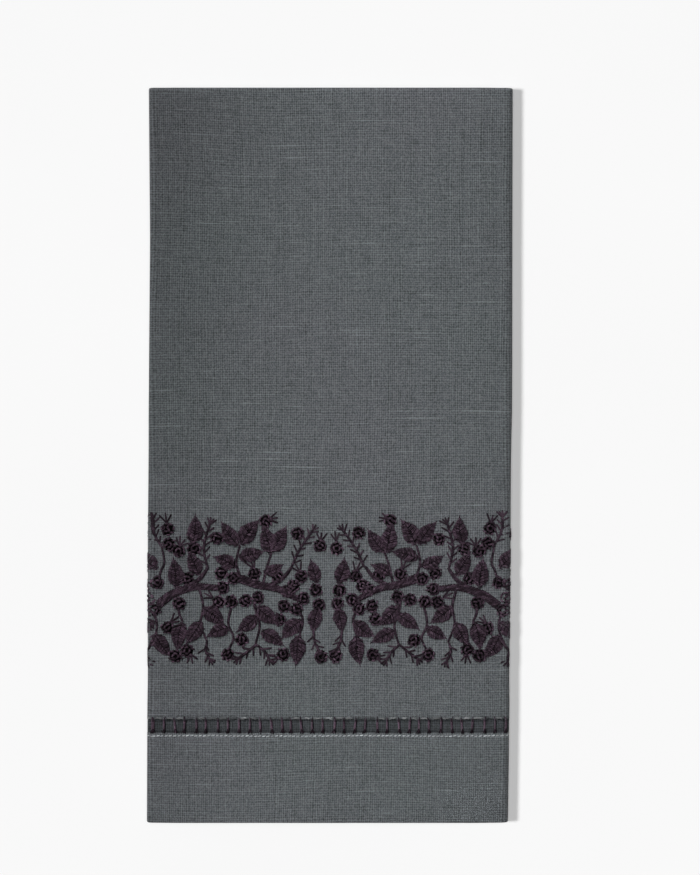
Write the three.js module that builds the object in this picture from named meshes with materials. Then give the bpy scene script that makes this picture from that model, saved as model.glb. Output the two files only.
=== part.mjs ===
// A linen guest towel, folded in half across and then in thirds lengthwise, lying flat on its last flap.
// Millimetres, +Z up. X runs across the folded towel and Y along it, from the front hem to the top fold.
// The cloth is one sheet with a ladder hemstitch, whose gaps are cut through above the front hem.
import * as THREE from "three";

// Driving dimensions
const TOWEL_WIDTH = 356;
const TOWEL_LENGTH = 508;
const FOLDED_LENGTH = 255;
const SHEET = 1.0;
const LAYER_GAP = 0.3;

// The folded outline: how far the side folds stand from the middle, at stations along the towel.
const OUTLINE = [
  { fromHem: 0, left: -63.5, right: 61.8 },
  { fromHem: 47, left: -63.3, right: 62.5 },
  { fromHem: 99, left: -63.3, right: 63.0 },
  { fromHem: 151, left: -62.8, right: 63.3 },
  { fromHem: 203, left: -62.4, right: 63.35 },
  { fromHem: 255, left: -62.8, right: 63.5 },
];
const FOLDED_WIDTH = 125.8;

// Where no flap lies under it, the cloth sinks towards the side folds.
const LEFT_SAG = 0.8;
const RIGHT_SAG = 1.0;
const SAG_REACH = 9.5;

// Ladder hemstitch: a band of gaps across the whole front half, with wrapped bars left between them.
const LADDER = { fromHem: 31.1, height: 5.0, pitch: 3.69, barWidth: 0.9 };

// Steps of the mesh
const SIDE_FOLD_STEPS = 8;
const TOP_FOLD_STEPS = 6;
const SAG_STEPS = 5;
const SAME_PLACE = 1e-6;

const LINEN_COLOUR = 0x595c5f;

// The towel is first folded in half, so every panel is doubled cloth with a front and a back layer.
const LAYER_PITCH = SHEET + LAYER_GAP;
const LAYER_OFFSET = LAYER_PITCH / 2;
const DOUBLED = 2 * LAYER_PITCH;

// Heights of the middle of the doubled cloth in the three panels, from the bottom up.
const RIGHT_FLAP_HEIGHT = LAYER_OFFSET + SHEET / 2;
const LEFT_FLAP_HEIGHT = RIGHT_FLAP_HEIGHT + DOUBLED;
const FRONT_HEIGHT = LEFT_FLAP_HEIGHT + DOUBLED;

// Side folds are half rounds of the doubled cloth. The right one also goes round the left flap.
const LEFT_RADIUS = (FRONT_HEIGHT - LEFT_FLAP_HEIGHT) / 2;
const RIGHT_RADIUS = (FRONT_HEIGHT - RIGHT_SAG - RIGHT_FLAP_HEIGHT) / 2;
const SKIN = LAYER_OFFSET + SHEET / 2;
const LEFT_TURN = Math.PI * LEFT_RADIUS;
const RIGHT_TURN = Math.PI * RIGHT_RADIUS;

// Lengths along the cloth, across the towel. Zero is the middle of the front panel.
const FRONT_WIDTH = FOLDED_WIDTH - LEFT_RADIUS - RIGHT_RADIUS - 2 * SKIN;
const FLAP_WIDTH = (TOWEL_WIDTH - FRONT_WIDTH - LEFT_TURN - RIGHT_TURN) / 2;
const FRONT_LEFT = -FRONT_WIDTH / 2;
const FRONT_RIGHT = FRONT_WIDTH / 2;
const LEFT_EDGE = FRONT_LEFT - LEFT_TURN - FLAP_WIDTH;
const RIGHT_EDGE = FRONT_RIGHT + RIGHT_TURN + FLAP_WIDTH;

// Lengths along the cloth, from the front hem edge over the top fold to the back hem edge.
const FRONT_LENGTH = FOLDED_LENGTH - SKIN;
const TOP_TURN = Math.PI * LAYER_OFFSET;
const BACK_START = FRONT_LENGTH + TOP_TURN;

const { lerp, smoothstep } = THREE.MathUtils;

// The outline's left and right folds at a distance from the hem edge, between the stations of the table.
function outlineAt(fromHem) {
  const last = OUTLINE.length - 2;
  let i = OUTLINE.findIndex((row, k) => k === last || fromHem < OUTLINE[k + 1].fromHem);
  i = Math.max(i, 0);
  const [a, b] = [OUTLINE[i], OUTLINE[i + 1]];
  const share = (fromHem - a.fromHem) / (b.fromHem - a.fromHem);
  return { left: lerp(a.left, b.left, share), right: lerp(a.right, b.right, share) };
}

// How far the cloth has sunk at a distance inwards from a side fold, and how steeply it rises there.
function sag(depth, inwards) {
  const share = THREE.MathUtils.clamp(inwards / SAG_REACH, 0, 1);
  return {
    drop: depth * (1 - smoothstep(share, 0, 1)),
    slope: (depth * 6 * share * (1 - share)) / SAG_REACH,
  };
}

// A place and an outward direction in the section, from a height and the slope of the cloth there.
function level(x, z, slope, up) {
  const normal = new THREE.Vector2(-slope, 1).normalize().multiplyScalar(up);
  return { x, z, normal };
}

// The half round of a side fold. Side is -1 for the left fold and 1 for the right one.
function turned(axis, radius, angle, side) {
  const normal = new THREE.Vector2(side * Math.sin(angle), Math.cos(angle));
  return { x: axis.x + radius * normal.x, z: axis.y + radius * normal.y, normal };
}

// The section across the folded towel: the middle of the doubled cloth, a length s along it.
function across(s, fromHem) {
  const outline = outlineAt(fromHem);
  const left = outline.left + LEFT_RADIUS + SKIN;
  const right = outline.right - RIGHT_RADIUS - SKIN;
  if (s < FRONT_LEFT - LEFT_TURN) {
    const inwards = FRONT_LEFT - LEFT_TURN - s;
    const { drop, slope } = sag(LEFT_SAG, inwards);
    return level(left + inwards, LEFT_FLAP_HEIGHT - drop, slope, -1);
  }
  if (s < FRONT_LEFT) {
    const axis = new THREE.Vector2(left, FRONT_HEIGHT - LEFT_SAG - LEFT_RADIUS);
    return turned(axis, LEFT_RADIUS, (FRONT_LEFT - s) / LEFT_RADIUS, -1);
  }
  if (s <= FRONT_RIGHT) {
    const x = lerp(left, right, (s - FRONT_LEFT) / FRONT_WIDTH);
    const fromLeft = sag(LEFT_SAG, x - left);
    const fromRight = sag(RIGHT_SAG, right - x);
    const z = FRONT_HEIGHT - fromLeft.drop - fromRight.drop;
    return level(x, z, fromLeft.slope - fromRight.slope, 1);
  }
  if (s < FRONT_RIGHT + RIGHT_TURN) {
    const axis = new THREE.Vector2(right, RIGHT_FLAP_HEIGHT + RIGHT_RADIUS);
    return turned(axis, RIGHT_RADIUS, (s - FRONT_RIGHT) / RIGHT_RADIUS, 1);
  }
  return level(right - (s - FRONT_RIGHT - RIGHT_TURN), RIGHT_FLAP_HEIGHT, 0, -1);
}

// The fold in half: where a length t along the cloth lies, and how far out of the doubled cloth's middle.
function along(t, depth) {
  const angle = THREE.MathUtils.clamp((t - FRONT_LENGTH) / LAYER_OFFSET, 0, Math.PI);
  const straight = t > BACK_START ? FRONT_LENGTH - (t - BACK_START) : Math.min(t, FRONT_LENGTH);
  return {
    fromHem: straight + (LAYER_OFFSET + depth) * Math.sin(angle),
    offset: (LAYER_OFFSET + depth) * Math.cos(angle),
  };
}

// A point of the folded cloth: s across, t along, and depth out of the sheet's middle.
function place([s, t], depth) {
  const { fromHem, offset } = along(t, depth);
  const { x, z, normal } = across(s, fromHem);
  const y = fromHem - FOLDED_LENGTH / 2;
  return new THREE.Vector3(x + offset * normal.x, y, z + offset * normal.y);
}

// Evenly spaced values from a start to an end, both included.
function steps(from, to, count) {
  return Array.from({ length: count + 1 }, (_, i) => lerp(from, to, i / count));
}

// The sorted values of several lists, each once.
function merged(...lists) {
  const sorted = lists.flat().sort((a, b) => a - b);
  return sorted.filter((value, i) => i === 0 || value - sorted[i - 1] > SAME_PLACE);
}

// Both edges of every bar of the ladder, across the whole towel.
function ladderBars() {
  const count = 2 * Math.floor((TOWEL_WIDTH - LADDER.pitch) / (2 * LADDER.pitch));
  return Array.from({ length: count }, (_, i) => {
    const middle = (i - (count - 1) / 2) * LADDER.pitch;
    return { from: middle - LADDER.barWidth / 2, to: middle + LADDER.barWidth / 2 };
  });
}

// The flat cut of the cloth as triangles between rows, with nothing between the ladder's bars.
function flatCut() {
  const points = [];
  const triangles = [];
  const bars = ladderBars();
  const foldColumns = merged(
    [LEFT_EDGE, 0, RIGHT_EDGE],
    steps(FRONT_LEFT - LEFT_TURN - SAG_REACH, FRONT_LEFT - LEFT_TURN, SAG_STEPS),
    steps(FRONT_LEFT - LEFT_TURN, FRONT_LEFT, SIDE_FOLD_STEPS),
    steps(FRONT_LEFT, FRONT_LEFT + SAG_REACH, SAG_STEPS),
    steps(FRONT_RIGHT - SAG_REACH, FRONT_RIGHT, SAG_STEPS),
    steps(FRONT_RIGHT, FRONT_RIGHT + RIGHT_TURN, SIDE_FOLD_STEPS),
  );
  const ladderColumns = merged(foldColumns, bars.flatMap((bar) => [bar.from, bar.to]));
  const stations = OUTLINE.map((row) => row.fromHem).filter((y) => y > 0 && y < FRONT_LENGTH);
  const ladderRows = [LADDER.fromHem, LADDER.fromHem + LADDER.height];
  const rows = merged(
    [0, ...stations, ...ladderRows],
    steps(FRONT_LENGTH, BACK_START, TOP_FOLD_STEPS),
    stations.map((y) => BACK_START + FRONT_LENGTH - y),
    [TOWEL_LENGTH],
  ).map((t) => {
    const columns = ladderRows.includes(t) ? ladderColumns : foldColumns;
    return columns.map((s) => ({ id: points.push([s, t]) - 1, s, t }));
  });
  for (let i = 0; i + 1 < rows.length; i++) {
    const [low, high] = [rows[i], rows[i + 1]];
    if (low[0].t !== LADDER.fromHem) {
      stitchRows(low, high, triangles);
      continue;
    }
    const open = [[LEFT_EDGE, bars[0].from], [bars.at(-1).to, RIGHT_EDGE]];
    for (const [from, to] of [...bars.map((bar) => [bar.from, bar.to]), ...open]) {
      const inside = (point) => point.s > from - SAME_PLACE && point.s < to + SAME_PLACE;
      stitchRows(low.filter(inside), high.filter(inside), triangles);
    }
  }
  return { points, triangles };
}

// Triangles between two rows of points that may have different columns.
function stitchRows(low, high, triangles) {
  let [i, j] = [0, 0];
  while (i + 1 < low.length || j + 1 < high.length) {
    const nextLow = i + 1 < low.length ? low[i + 1].s : Infinity;
    const nextHigh = j + 1 < high.length ? high[j + 1].s : Infinity;
    if (nextLow <= nextHigh) {
      triangles.push([low[i].id, low[i + 1].id, high[j].id]);
      i += 1;
    } else {
      triangles.push([low[i].id, high[j + 1].id, high[j].id]);
      j += 1;
    }
  }
}

// The edges with cloth on one side only: the hems, the side edges and the rims of the gaps.
function rimEdges(triangles) {
  const edges = new Map();
  for (const [a, b, c] of triangles) {
    for (const [from, to] of [[a, b], [b, c], [c, a]]) {
      if (!edges.delete(`${to} ${from}`)) edges.set(`${from} ${to}`, [from, to]);
    }
  }
  return edges.values();
}

// The closed solid of the folded sheet: its outer face, its inner face and a wall along every rim.
function clothGeometry({ points, triangles }) {
  const outer = points.map((point) => place(point, SHEET / 2));
  const inner = points.map((point) => place(point, -SHEET / 2));
  const toInner = points.length;
  const index = triangles.flatMap(([a, b, c]) => [a, b, c, a + toInner, c + toInner, b + toInner]);
  for (const [a, b] of rimEdges(triangles)) {
    index.push(a, a + toInner, b + toInner, a, b + toInner, b);
  }
  const geometry = new THREE.BufferGeometry().setFromPoints([...outer, ...inner]);
  geometry.setIndex(index);
  geometry.computeVertexNormals();
  return geometry;
}

const linen = new THREE.MeshStandardMaterial({ color: LINEN_COLOUR, roughness: 0.95, metalness: 0 });

const towel = new THREE.Group();
const cloth = new THREE.Mesh(clothGeometry(flatCut()), linen);
cloth.name = "towel_cloth";
towel.add(cloth);

export default towel;
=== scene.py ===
# A slate linen guest towel, folded in half and in thirds, with a berry border and a ladder hemstitch.
# Sizes are in millimetres, and MM turns them into Blender's metres as each mesh is made.
import math

import bpy
import numpy as np
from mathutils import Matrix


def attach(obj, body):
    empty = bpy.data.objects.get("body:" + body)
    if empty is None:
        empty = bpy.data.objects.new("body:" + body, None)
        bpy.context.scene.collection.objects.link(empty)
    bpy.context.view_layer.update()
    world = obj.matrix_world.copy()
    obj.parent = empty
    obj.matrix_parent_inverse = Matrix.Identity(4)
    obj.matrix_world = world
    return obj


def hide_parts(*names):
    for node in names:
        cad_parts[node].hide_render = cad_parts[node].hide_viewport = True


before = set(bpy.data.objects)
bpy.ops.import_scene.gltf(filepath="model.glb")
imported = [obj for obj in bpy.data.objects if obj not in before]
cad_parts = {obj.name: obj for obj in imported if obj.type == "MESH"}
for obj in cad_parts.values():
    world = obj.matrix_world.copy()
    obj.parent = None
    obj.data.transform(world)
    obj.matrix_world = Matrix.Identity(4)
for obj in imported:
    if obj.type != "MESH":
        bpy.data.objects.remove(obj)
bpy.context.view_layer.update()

MM = 0.001

# The towel and its folds
TOWEL_WIDTH = 356.0
TOWEL_LENGTH = 508.0
FOLDED_LENGTH = 255.0
FOLDED_WIDTH = 125.8
LAYER = 1.0
LAYER_GAP = 0.3
LINEN = 0.45

# The folded outline: distance from the hem edge, then the left and the right fold from the middle
OUTLINE = np.array([
    (0.0, -63.6, 61.8),
    (47.0, -63.42, 62.5),
    (99.0, -63.42, 63.0),
    (151.0, -62.92, 63.3),
    (203.0, -62.52, 63.35),
    (255.0, -62.92, 63.5),
])
LEFT_SAG = 0.8
RIGHT_SAG = 1.0
SAG_REACH = 9.5
CORNER_SHARPNESS = 0.62
CORNER_REACH = 7.0
CORNER_TIP = 1.5

# The ladder hemstitch, the line of pale stitches under it, and the hems
FRONT_HEM = 29.4
BACK_HEM = 12.0
LADDER_FOOT = 31.35
LADDER_HEAD = 35.9
LADDER_PITCH = 3.69
BAR_WIDTH = 0.55
BAR_WAIST = 0.7
PALE_LINE = 30.2
PALE_PITCH = 1.47

# The embroidered border: its lower edge from the hem, and the line where its chart turns back
BORDER_FOOT = 55.1
CHART_TURN = 66.0
CHART_PAST_FOLD = 18.0

# Fabric count of the linen
WARP_PITCH = 0.73
WEFT_PITCH = 0.82

# Heights in the fold, worked out as in the solid
LAYER_OFFSET = (LAYER + LAYER_GAP) / 2
DOUBLED = 2 * (LAYER + LAYER_GAP)
SKIN = LAYER_OFFSET + LAYER / 2
RIGHT_FLAP_HEIGHT = SKIN
LEFT_FLAP_HEIGHT = RIGHT_FLAP_HEIGHT + DOUBLED
FRONT_HEIGHT = LEFT_FLAP_HEIGHT + DOUBLED
LEFT_RADIUS = (FRONT_HEIGHT - LEFT_FLAP_HEIGHT) / 2
RIGHT_RADIUS = (FRONT_HEIGHT - RIGHT_SAG - RIGHT_FLAP_HEIGHT) / 2
LEFT_TURN = math.pi * LEFT_RADIUS
RIGHT_TURN = math.pi * RIGHT_RADIUS
FRONT_WIDTH = FOLDED_WIDTH - LEFT_RADIUS - RIGHT_RADIUS - 2 * SKIN
FLAP_WIDTH = (TOWEL_WIDTH - FRONT_WIDTH - LEFT_TURN - RIGHT_TURN) / 2
FRONT_LEFT = -FRONT_WIDTH / 2
FRONT_RIGHT = FRONT_WIDTH / 2
LEFT_FLAP_START = FRONT_LEFT - LEFT_TURN
RIGHT_FLAP_START = FRONT_RIGHT + RIGHT_TURN
LEFT_APEX = (FRONT_LEFT + LEFT_FLAP_START) / 2
RIGHT_APEX = (FRONT_RIGHT + RIGHT_FLAP_START) / 2
LEFT_EDGE = LEFT_FLAP_START - FLAP_WIDTH
RIGHT_EDGE = RIGHT_FLAP_START + FLAP_WIDTH
FRONT_LENGTH = FOLDED_LENGTH - SKIN
TOP_TURN = math.pi * LAYER_OFFSET
BACK_START = FRONT_LENGTH + TOP_TURN

# The thin linen lies at the outer side of its layer, which leaves room under it for a turned hem.
SEAT = LAYER / 2 - LINEN / 2
BACK_SEAT = -0.5
FOLD_SEAT = -0.9
SHOWN_SEAT = -0.8
LADDER_SEAT = -1.5
STITCH_ROOM = 0.13
FOLD_FADE = 6.0
PRESSED = 0.8
PRESS_REACH = 4.5
HEM_TURN = math.pi * SEAT

rng = np.random.default_rng(653)


def smooth(low, high, value):
    """A soft step from 0 at low to 1 at high."""
    share = np.clip((value - low) / (high - low), 0, 1)
    return share * share * (3 - 2 * share)


# Folding the flat cloth


def sag(depth, inwards):
    """How far the cloth has sunk at a distance in from a side fold, and how steeply it rises there."""
    share = np.clip(inwards / SAG_REACH, 0, 1)
    drop = depth * (1 - share * share * (3 - 2 * share))
    return drop, depth * 6 * share * (1 - share) / SAG_REACH


def across(s, from_hem):
    """The section across the fold: place and outward direction of the doubled cloth at a length s."""
    left = np.interp(from_hem, OUTLINE[:, 0], OUTLINE[:, 1]) + LEFT_RADIUS + SKIN
    right = np.interp(from_hem, OUTLINE[:, 0], OUTLINE[:, 2]) - RIGHT_RADIUS - SKIN
    left_flap = s < LEFT_FLAP_START
    left_fold = (s < FRONT_LEFT) & ~left_flap
    right_flap = s > RIGHT_FLAP_START
    right_fold = (s > FRONT_RIGHT) & ~right_flap

    x = left + (right - left) * (s - FRONT_LEFT) / FRONT_WIDTH
    left_drop, left_slope = sag(LEFT_SAG, x - left)
    right_drop, right_slope = sag(RIGHT_SAG, right - x)
    z = FRONT_HEIGHT - left_drop - right_drop
    slope = left_slope - right_slope
    up = np.ones_like(s)

    inwards = LEFT_FLAP_START - s
    flap_drop, flap_slope = sag(LEFT_SAG, inwards)
    x = np.where(left_flap, left + inwards, x)
    z = np.where(left_flap, LEFT_FLAP_HEIGHT - flap_drop, z)
    slope = np.where(left_flap, flap_slope, slope)
    x = np.where(right_flap, right - (s - RIGHT_FLAP_START), x)
    z = np.where(right_flap, RIGHT_FLAP_HEIGHT, z)
    slope = np.where(right_flap, 0, slope)
    up = np.where(left_flap | right_flap, -1, up)
    length = np.sqrt(1 + slope * slope)
    nx, nz = -slope * up / length, up / length

    for fold, side, radius, turn_angle, axis_x, axis_z in (
        (left_fold, -1, LEFT_RADIUS, (FRONT_LEFT - s) / LEFT_RADIUS,
         left, FRONT_HEIGHT - LEFT_SAG - LEFT_RADIUS),
        (right_fold, 1, RIGHT_RADIUS, (s - FRONT_RIGHT) / RIGHT_RADIUS,
         right, RIGHT_FLAP_HEIGHT + RIGHT_RADIUS),
    ):
        nx = np.where(fold, side * np.sin(turn_angle), nx)
        nz = np.where(fold, np.cos(turn_angle), nz)
        x = np.where(fold, axis_x + radius * nx, x)
        z = np.where(fold, axis_z + radius * nz, z)
    return x, z, nx, nz


def from_apex(s):
    """Distance across the cloth from the outermost line of the nearer side fold."""
    return np.minimum(np.abs(s - LEFT_APEX), np.abs(s - RIGHT_APEX))


def place(s, t, depth):
    """Points of the folded cloth: s across, t along, and depth out of the layer's middle."""
    angle = np.clip((t - FRONT_LENGTH) / LAYER_OFFSET, 0, math.pi)
    straight = np.where(t > BACK_START, FRONT_LENGTH - (t - BACK_START), np.minimum(t, FRONT_LENGTH))
    sharp = 1 - CORNER_SHARPNESS * smooth(CORNER_REACH, CORNER_TIP, from_apex(s))
    ahead, up = np.sin(angle), np.cos(angle)
    from_hem = straight + (LAYER_OFFSET + depth) * ahead**sharp
    offset = (LAYER_OFFSET + depth) * np.sign(up) * np.abs(up)**sharp
    x, z, nx, nz = across(s, from_hem)
    return np.stack([x + offset * nx, from_hem - FOLDED_LENGTH / 2, z + offset * nz], axis=-1)


def seat(s, t):
    """Where the linen's middle lies in its layer: out on the front half, close behind on the back half.

    Past the side folds the front half leaves room for stitches, and the back half fills the folds.
    """
    past = smooth(FRONT_RIGHT, RIGHT_FLAP_START, np.abs(s))
    above_ladder = smooth(LADDER_HEAD + 2, BORDER_FOOT - 4, t)
    below_plain = 1 - smooth(BORDER_FOOT + 70, BORDER_FOOT + 90, t)
    front = SEAT * (1 - 2 * past * above_ladder * below_plain)
    underneath = smooth(FRONT_RIGHT, RIGHT_FLAP_START, s)
    at_ladder = smooth(FRONT_HEM - 2.5, FRONT_HEM - 0.5, t)
    at_ladder = at_ladder * smooth(LADDER_HEAD + 3.5, LADDER_HEAD + 1.5, t)
    front = front - STITCH_ROOM * underneath * at_ladder

    into_left = smooth(FRONT_LEFT, FRONT_LEFT - LEFT_TURN / 2, s)
    out_of_left = smooth(LEFT_FLAP_START, LEFT_FLAP_START - FOLD_FADE, s)
    into_right = smooth(FRONT_RIGHT, FRONT_RIGHT + RIGHT_TURN / 2, s)
    out_of_right = smooth(RIGHT_FLAP_START, RIGHT_FLAP_START + FOLD_FADE, s)
    in_fold = np.maximum(into_left - out_of_left, into_right - out_of_right)
    close = BACK_SEAT + (FOLD_SEAT - BACK_SEAT) * in_fold

    from_hem = FRONT_LENGTH - (t - BACK_START)
    behind_ladder = smooth(LADDER_FOOT - 0.15, LADDER_FOOT + 0.1, from_hem)
    behind_ladder = behind_ladder * smooth(LADDER_HEAD + 0.15, LADDER_HEAD - 0.1, from_hem)
    close = close + (SHOWN_SEAT - close) * behind_ladder
    close = close + (LADDER_SEAT - close) * behind_ladder * smooth(1.7, 0.5, from_apex(s))
    at_back_hem = smooth(TOWEL_LENGTH - BACK_HEM - 12, TOWEL_LENGTH - BACK_HEM - 2, t)
    back = close + (SEAT - close) * at_back_hem
    return front + (back - front) * smooth(BACK_START - TOP_TURN / 2, BACK_START + 15, t)


def on_cloth(points):
    """Stitch points (s, t, height over the cloth) on the folded towel, pressed flat past the folds."""
    s, t, height = np.moveaxis(points, -1, 0)
    pressed = 1 - PRESSED * smooth(FRONT_RIGHT - PRESS_REACH, FRONT_RIGHT + 1, np.abs(s))
    return place(s, t, seat(s, t) + LINEN / 2 + height * pressed)


# Shader node helpers


def add(tree, kind, **values):
    """A node of a kind, with its own settings and its unlinked inputs set by name."""
    made = tree.nodes.new(kind)
    for name, value in values.items():
        if hasattr(made, name):
            setattr(made, name, value)
        else:
            made.inputs[name.replace("_", " ")].default_value = value
    return made


def wire(source, target):
    """Links a socket to an input, or sets the input to a plain value."""
    if isinstance(source, bpy.types.NodeSocket):
        target.id_data.links.new(source, target)
    else:
        target.default_value = source


def calc(operation, *values):
    """A Math node on sockets and numbers, in the node tree of the sockets."""
    tree = next(value.id_data for value in values if isinstance(value, bpy.types.NodeSocket))
    made = add(tree, "ShaderNodeMath", operation=operation)
    for value, socket in zip(values, made.inputs):
        wire(value, socket)
    return made.outputs[0]


def times(first, second):
    """The product of two values."""
    return calc("MULTIPLY", first, second)


def plus(first, second):
    """The sum of two values."""
    return calc("ADD", first, second)


def minus(first, second):
    """The difference of two values."""
    return calc("SUBTRACT", first, second)


def centred(value, strength):
    """A value between 0 and 1 as a swing about 0."""
    return times(minus(value, 0.5), strength)


def span(value, low, high, to_low, to_high):
    """A value carried from one range to another, held at the ends."""
    made = add(value.id_data, "ShaderNodeMapRange")
    for number, socket in zip((value, low, high, to_low, to_high), made.inputs):
        wire(number, socket)
    return made.outputs[0]


def noise(at, scale, detail):
    """Noise over a map."""
    made = add(at.id_data, "ShaderNodeTexNoise", Scale=scale, Detail=detail)
    wire(at, made.inputs["Vector"])
    return made.outputs["Fac"]


def grain(x, y, scale=1.0, detail=1.0, field=0.0):
    """Noise at a place given by separate values. Each field is a noise of its own."""
    at = add(x.id_data, "ShaderNodeCombineXYZ")
    for value, socket in zip((x, y, field), at.inputs):
        wire(value, socket)
    return noise(at.outputs[0], scale, detail)


def group(name, inputs, outputs):
    """An empty shader node group with named sockets, and its input and output nodes."""
    tree = bpy.data.node_groups.new(name, "ShaderNodeTree")
    for label, kind, start in inputs:
        socket = tree.interface.new_socket(label, in_out="INPUT", socket_type=kind)
        if start is not None:
            socket.default_value = start
    for label, kind in outputs:
        tree.interface.new_socket(label, in_out="OUTPUT", socket_type=kind)
    return tree, tree.nodes.new("NodeGroupInput").outputs, tree.nodes.new("NodeGroupOutput").inputs


# Weave, in threads: spacings set neighbours apart in a noise, and runs are slow along a thread.
DRIFT_SPACING, DRIFT_RUN = 0.5, 0.02
BOW_SCALE, BOW_REACH = 0.012, 3.0
OWN_SPACING = 7.31
NEAR_SPACING, NEAR_RUN, NEAR_TONE = 3.77, 0.14, 0.13
FADE_SPACING, FADE_RUN = 5.3, 0.09
SLUB_SPACING, SLUB_RUN, SLUB_TONE = 11.3, 0.032, 0.42
CROWN_SHARE = 0.62
FIBRES = 2.0
FIBRE_TONE = 0.4


def plain_weave():
    """Plain weave on a map measured in threads: its relief, the tone of the thread on top with painted
    light and shade, and a mask of painted shade in the gaps.
    """
    tree, given, put = group(
        "plain weave",
        [("Threads", "NodeSocketVector", None), ("Wander", "NodeSocketFloat", 0.3)],
        [("Relief", "NodeSocketFloat"), ("Tone", "NodeSocketFloat"), ("Gap shade", "NodeSocketFloat")],
    )
    at = tree.nodes.new("ShaderNodeSeparateXYZ")
    wire(given["Threads"], at.inputs[0])
    flat_x, flat_y = at.outputs[0], at.outputs[1]

    def wandering(value, along, field):
        """A thread's place, pushed about by its neighbours and drifting a little along its length."""
        spaced = times(value, DRIFT_SPACING)
        drift = grain(spaced, times(along, DRIFT_RUN), field=field)
        bow = grain(value, along, scale=BOW_SCALE, detail=0.0, field=field)
        moved = calc("MULTIPLY_ADD", minus(drift, 0.5), given["Wander"], value)
        return calc("MULTIPLY_ADD", bow, BOW_REACH, moved)

    x, y = wandering(flat_x, flat_y, 3.1), wandering(flat_y, flat_x, 8.7)
    warp, weft = calc("FLOOR", x), calc("FLOOR", y)
    off_warp = minus(minus(x, warp), 0.5)
    off_weft = minus(minus(y, weft), 0.5)
    crossing = calc("FLOORED_MODULO", plus(warp, weft), 2.0)
    over = minus(times(crossing, 2.0), 1.0)
    under = times(over, -1.0)

    def thread(number, along, off, other_off, up, line, run, depth):
        """Height and tone of one set of threads: each has its own tone, which changes slowly along it,
        with painted light on its crown and painted shade at its sides.
        """
        own = grain(times(number, OWN_SPACING), times(along, run))
        spaced = times(number, NEAR_SPACING)
        near = grain(spaced, times(along, NEAR_RUN), detail=0.0, field=21.0)
        spaced = times(number, FADE_SPACING)
        fade = grain(spaced, times(along, FADE_RUN), detail=0.0, field=37.0)
        round_off = calc("COSINE", times(off, 2 * math.pi))
        crown = plus(times(round_off, 0.5), 0.5)
        rise = times(calc("COSINE", times(other_off, math.pi)), up)
        height = plus(times(crown, CROWN_SHARE), times(rise, 1 - CROWN_SHARE))
        # Painted light and shade: each thread is lighter on its crown and darker at its sides.
        crown_light_and_shade = times(centred(crown, line), span(fade, 0.3, 0.7, 0.5, 1.5))
        uneven = plus(centred(own, depth), centred(near, NEAR_TONE))
        return height, plus(crown_light_and_shade, uneven), crown

    warp_height, warp_tone, _ = thread(
        warp, y, off_warp, off_weft, over, line=0.28, run=0.006, depth=0.17
    )
    weft_height, weft_tone, weft_crown = thread(
        weft, x, off_weft, off_warp, under, line=0.235, run=0.014, depth=0.1
    )
    relief = calc("MAXIMUM", warp_height, weft_height)
    spaced = times(weft, SLUB_SPACING)
    slub = grain(times(x, SLUB_RUN), spaced, detail=0.0, field=5.0)
    pale = times(span(slub, 0.7, 0.82, 0.0, SLUB_TONE), weft_crown)
    fibre = tree.nodes.new("ShaderNodeCombineXYZ")
    for value, socket in zip((x, y), fibre.inputs):
        wire(calc("FLOOR", times(value, FIBRES)), socket)
    chance = add(tree, "ShaderNodeTexWhiteNoise", noise_dimensions="2D")
    wire(fibre.outputs[0], chance.inputs["Vector"])
    tone = plus(warp_tone, weft_tone)
    tone = plus(tone, centred(chance.outputs["Value"], FIBRE_TONE))
    tone = plus(plus(tone, pale), 0.5)
    wire(relief, put["Relief"])
    wire(tone, put["Tone"])
    # Painted shade mask: 1 where both threads lie low, in the gaps between them.
    wire(span(relief, 0.05, 0.5, 1.0, 0.0), put["Gap shade"])
    return tree


def spun_thread():
    """The twist of a stranded thread, on a map of its turn and its length in millimetres."""
    tree, given, put = group(
        "spun thread",
        [
            ("Map", "NodeSocketVector", None),
            ("Lay", "NodeSocketFloat", 1.1),
            ("Strands", "NodeSocketFloat", 3.0),
        ],
        [("Relief", "NodeSocketFloat"), ("Fleck", "NodeSocketFloat")],
    )
    at = tree.nodes.new("ShaderNodeSeparateXYZ")
    wire(given["Map"], at.inputs[0])
    around, along = at.outputs[0], at.outputs[1]
    turn = plus(around, calc("DIVIDE", along, given["Lay"]))
    strand = calc("FRACT", times(turn, given["Strands"]))
    off = minus(times(strand, 2.0), 1.0)
    fall = times(off, times(off, 0.96))
    wire(calc("SQRT", minus(1.0, fall)), put["Relief"])
    fleck = grain(times(turn, 6.0), times(along, 0.7), scale=3.0, detail=2.0)
    wire(fleck, put["Fleck"])
    return tree


def new_material(name, **values):
    """A material with only its Principled shader, with inputs set by name and linked to the output."""
    made = bpy.data.materials.new(name)
    made.use_nodes = True
    tree = made.node_tree
    tree.nodes.clear()
    shader = add(tree, "ShaderNodeBsdfPrincipled", **values)
    wire(shader.outputs[0], tree.nodes.new("ShaderNodeOutputMaterial").inputs[0])
    return made, tree, shader


def use_group(tree, made_group, **links):
    """Places a node group, with its inputs linked or set by name."""
    placed = tree.nodes.new("ShaderNodeGroup")
    placed.node_tree = made_group
    for name, value in links.items():
        wire(value, placed.inputs[name])
    return placed.outputs


def ramp(value, *stops):
    """A colour ramp with (place, colour) stops."""
    made = add(value.id_data, "ShaderNodeValToRGB")
    for element, (where, colour) in zip(made.color_ramp.elements, stops, strict=True):
        element.position = where
        element.color = (*colour, 1)
    wire(value, made.inputs[0])
    return made.outputs[0]


def tinted(colour, tint):
    """A colour multiplied by another, or by a value."""
    made = add(colour.id_data, "ShaderNodeVectorMath", operation="MULTIPLY")
    wire(colour, made.inputs[0])
    wire(tint, made.inputs[1])
    return made.outputs[0]


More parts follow.
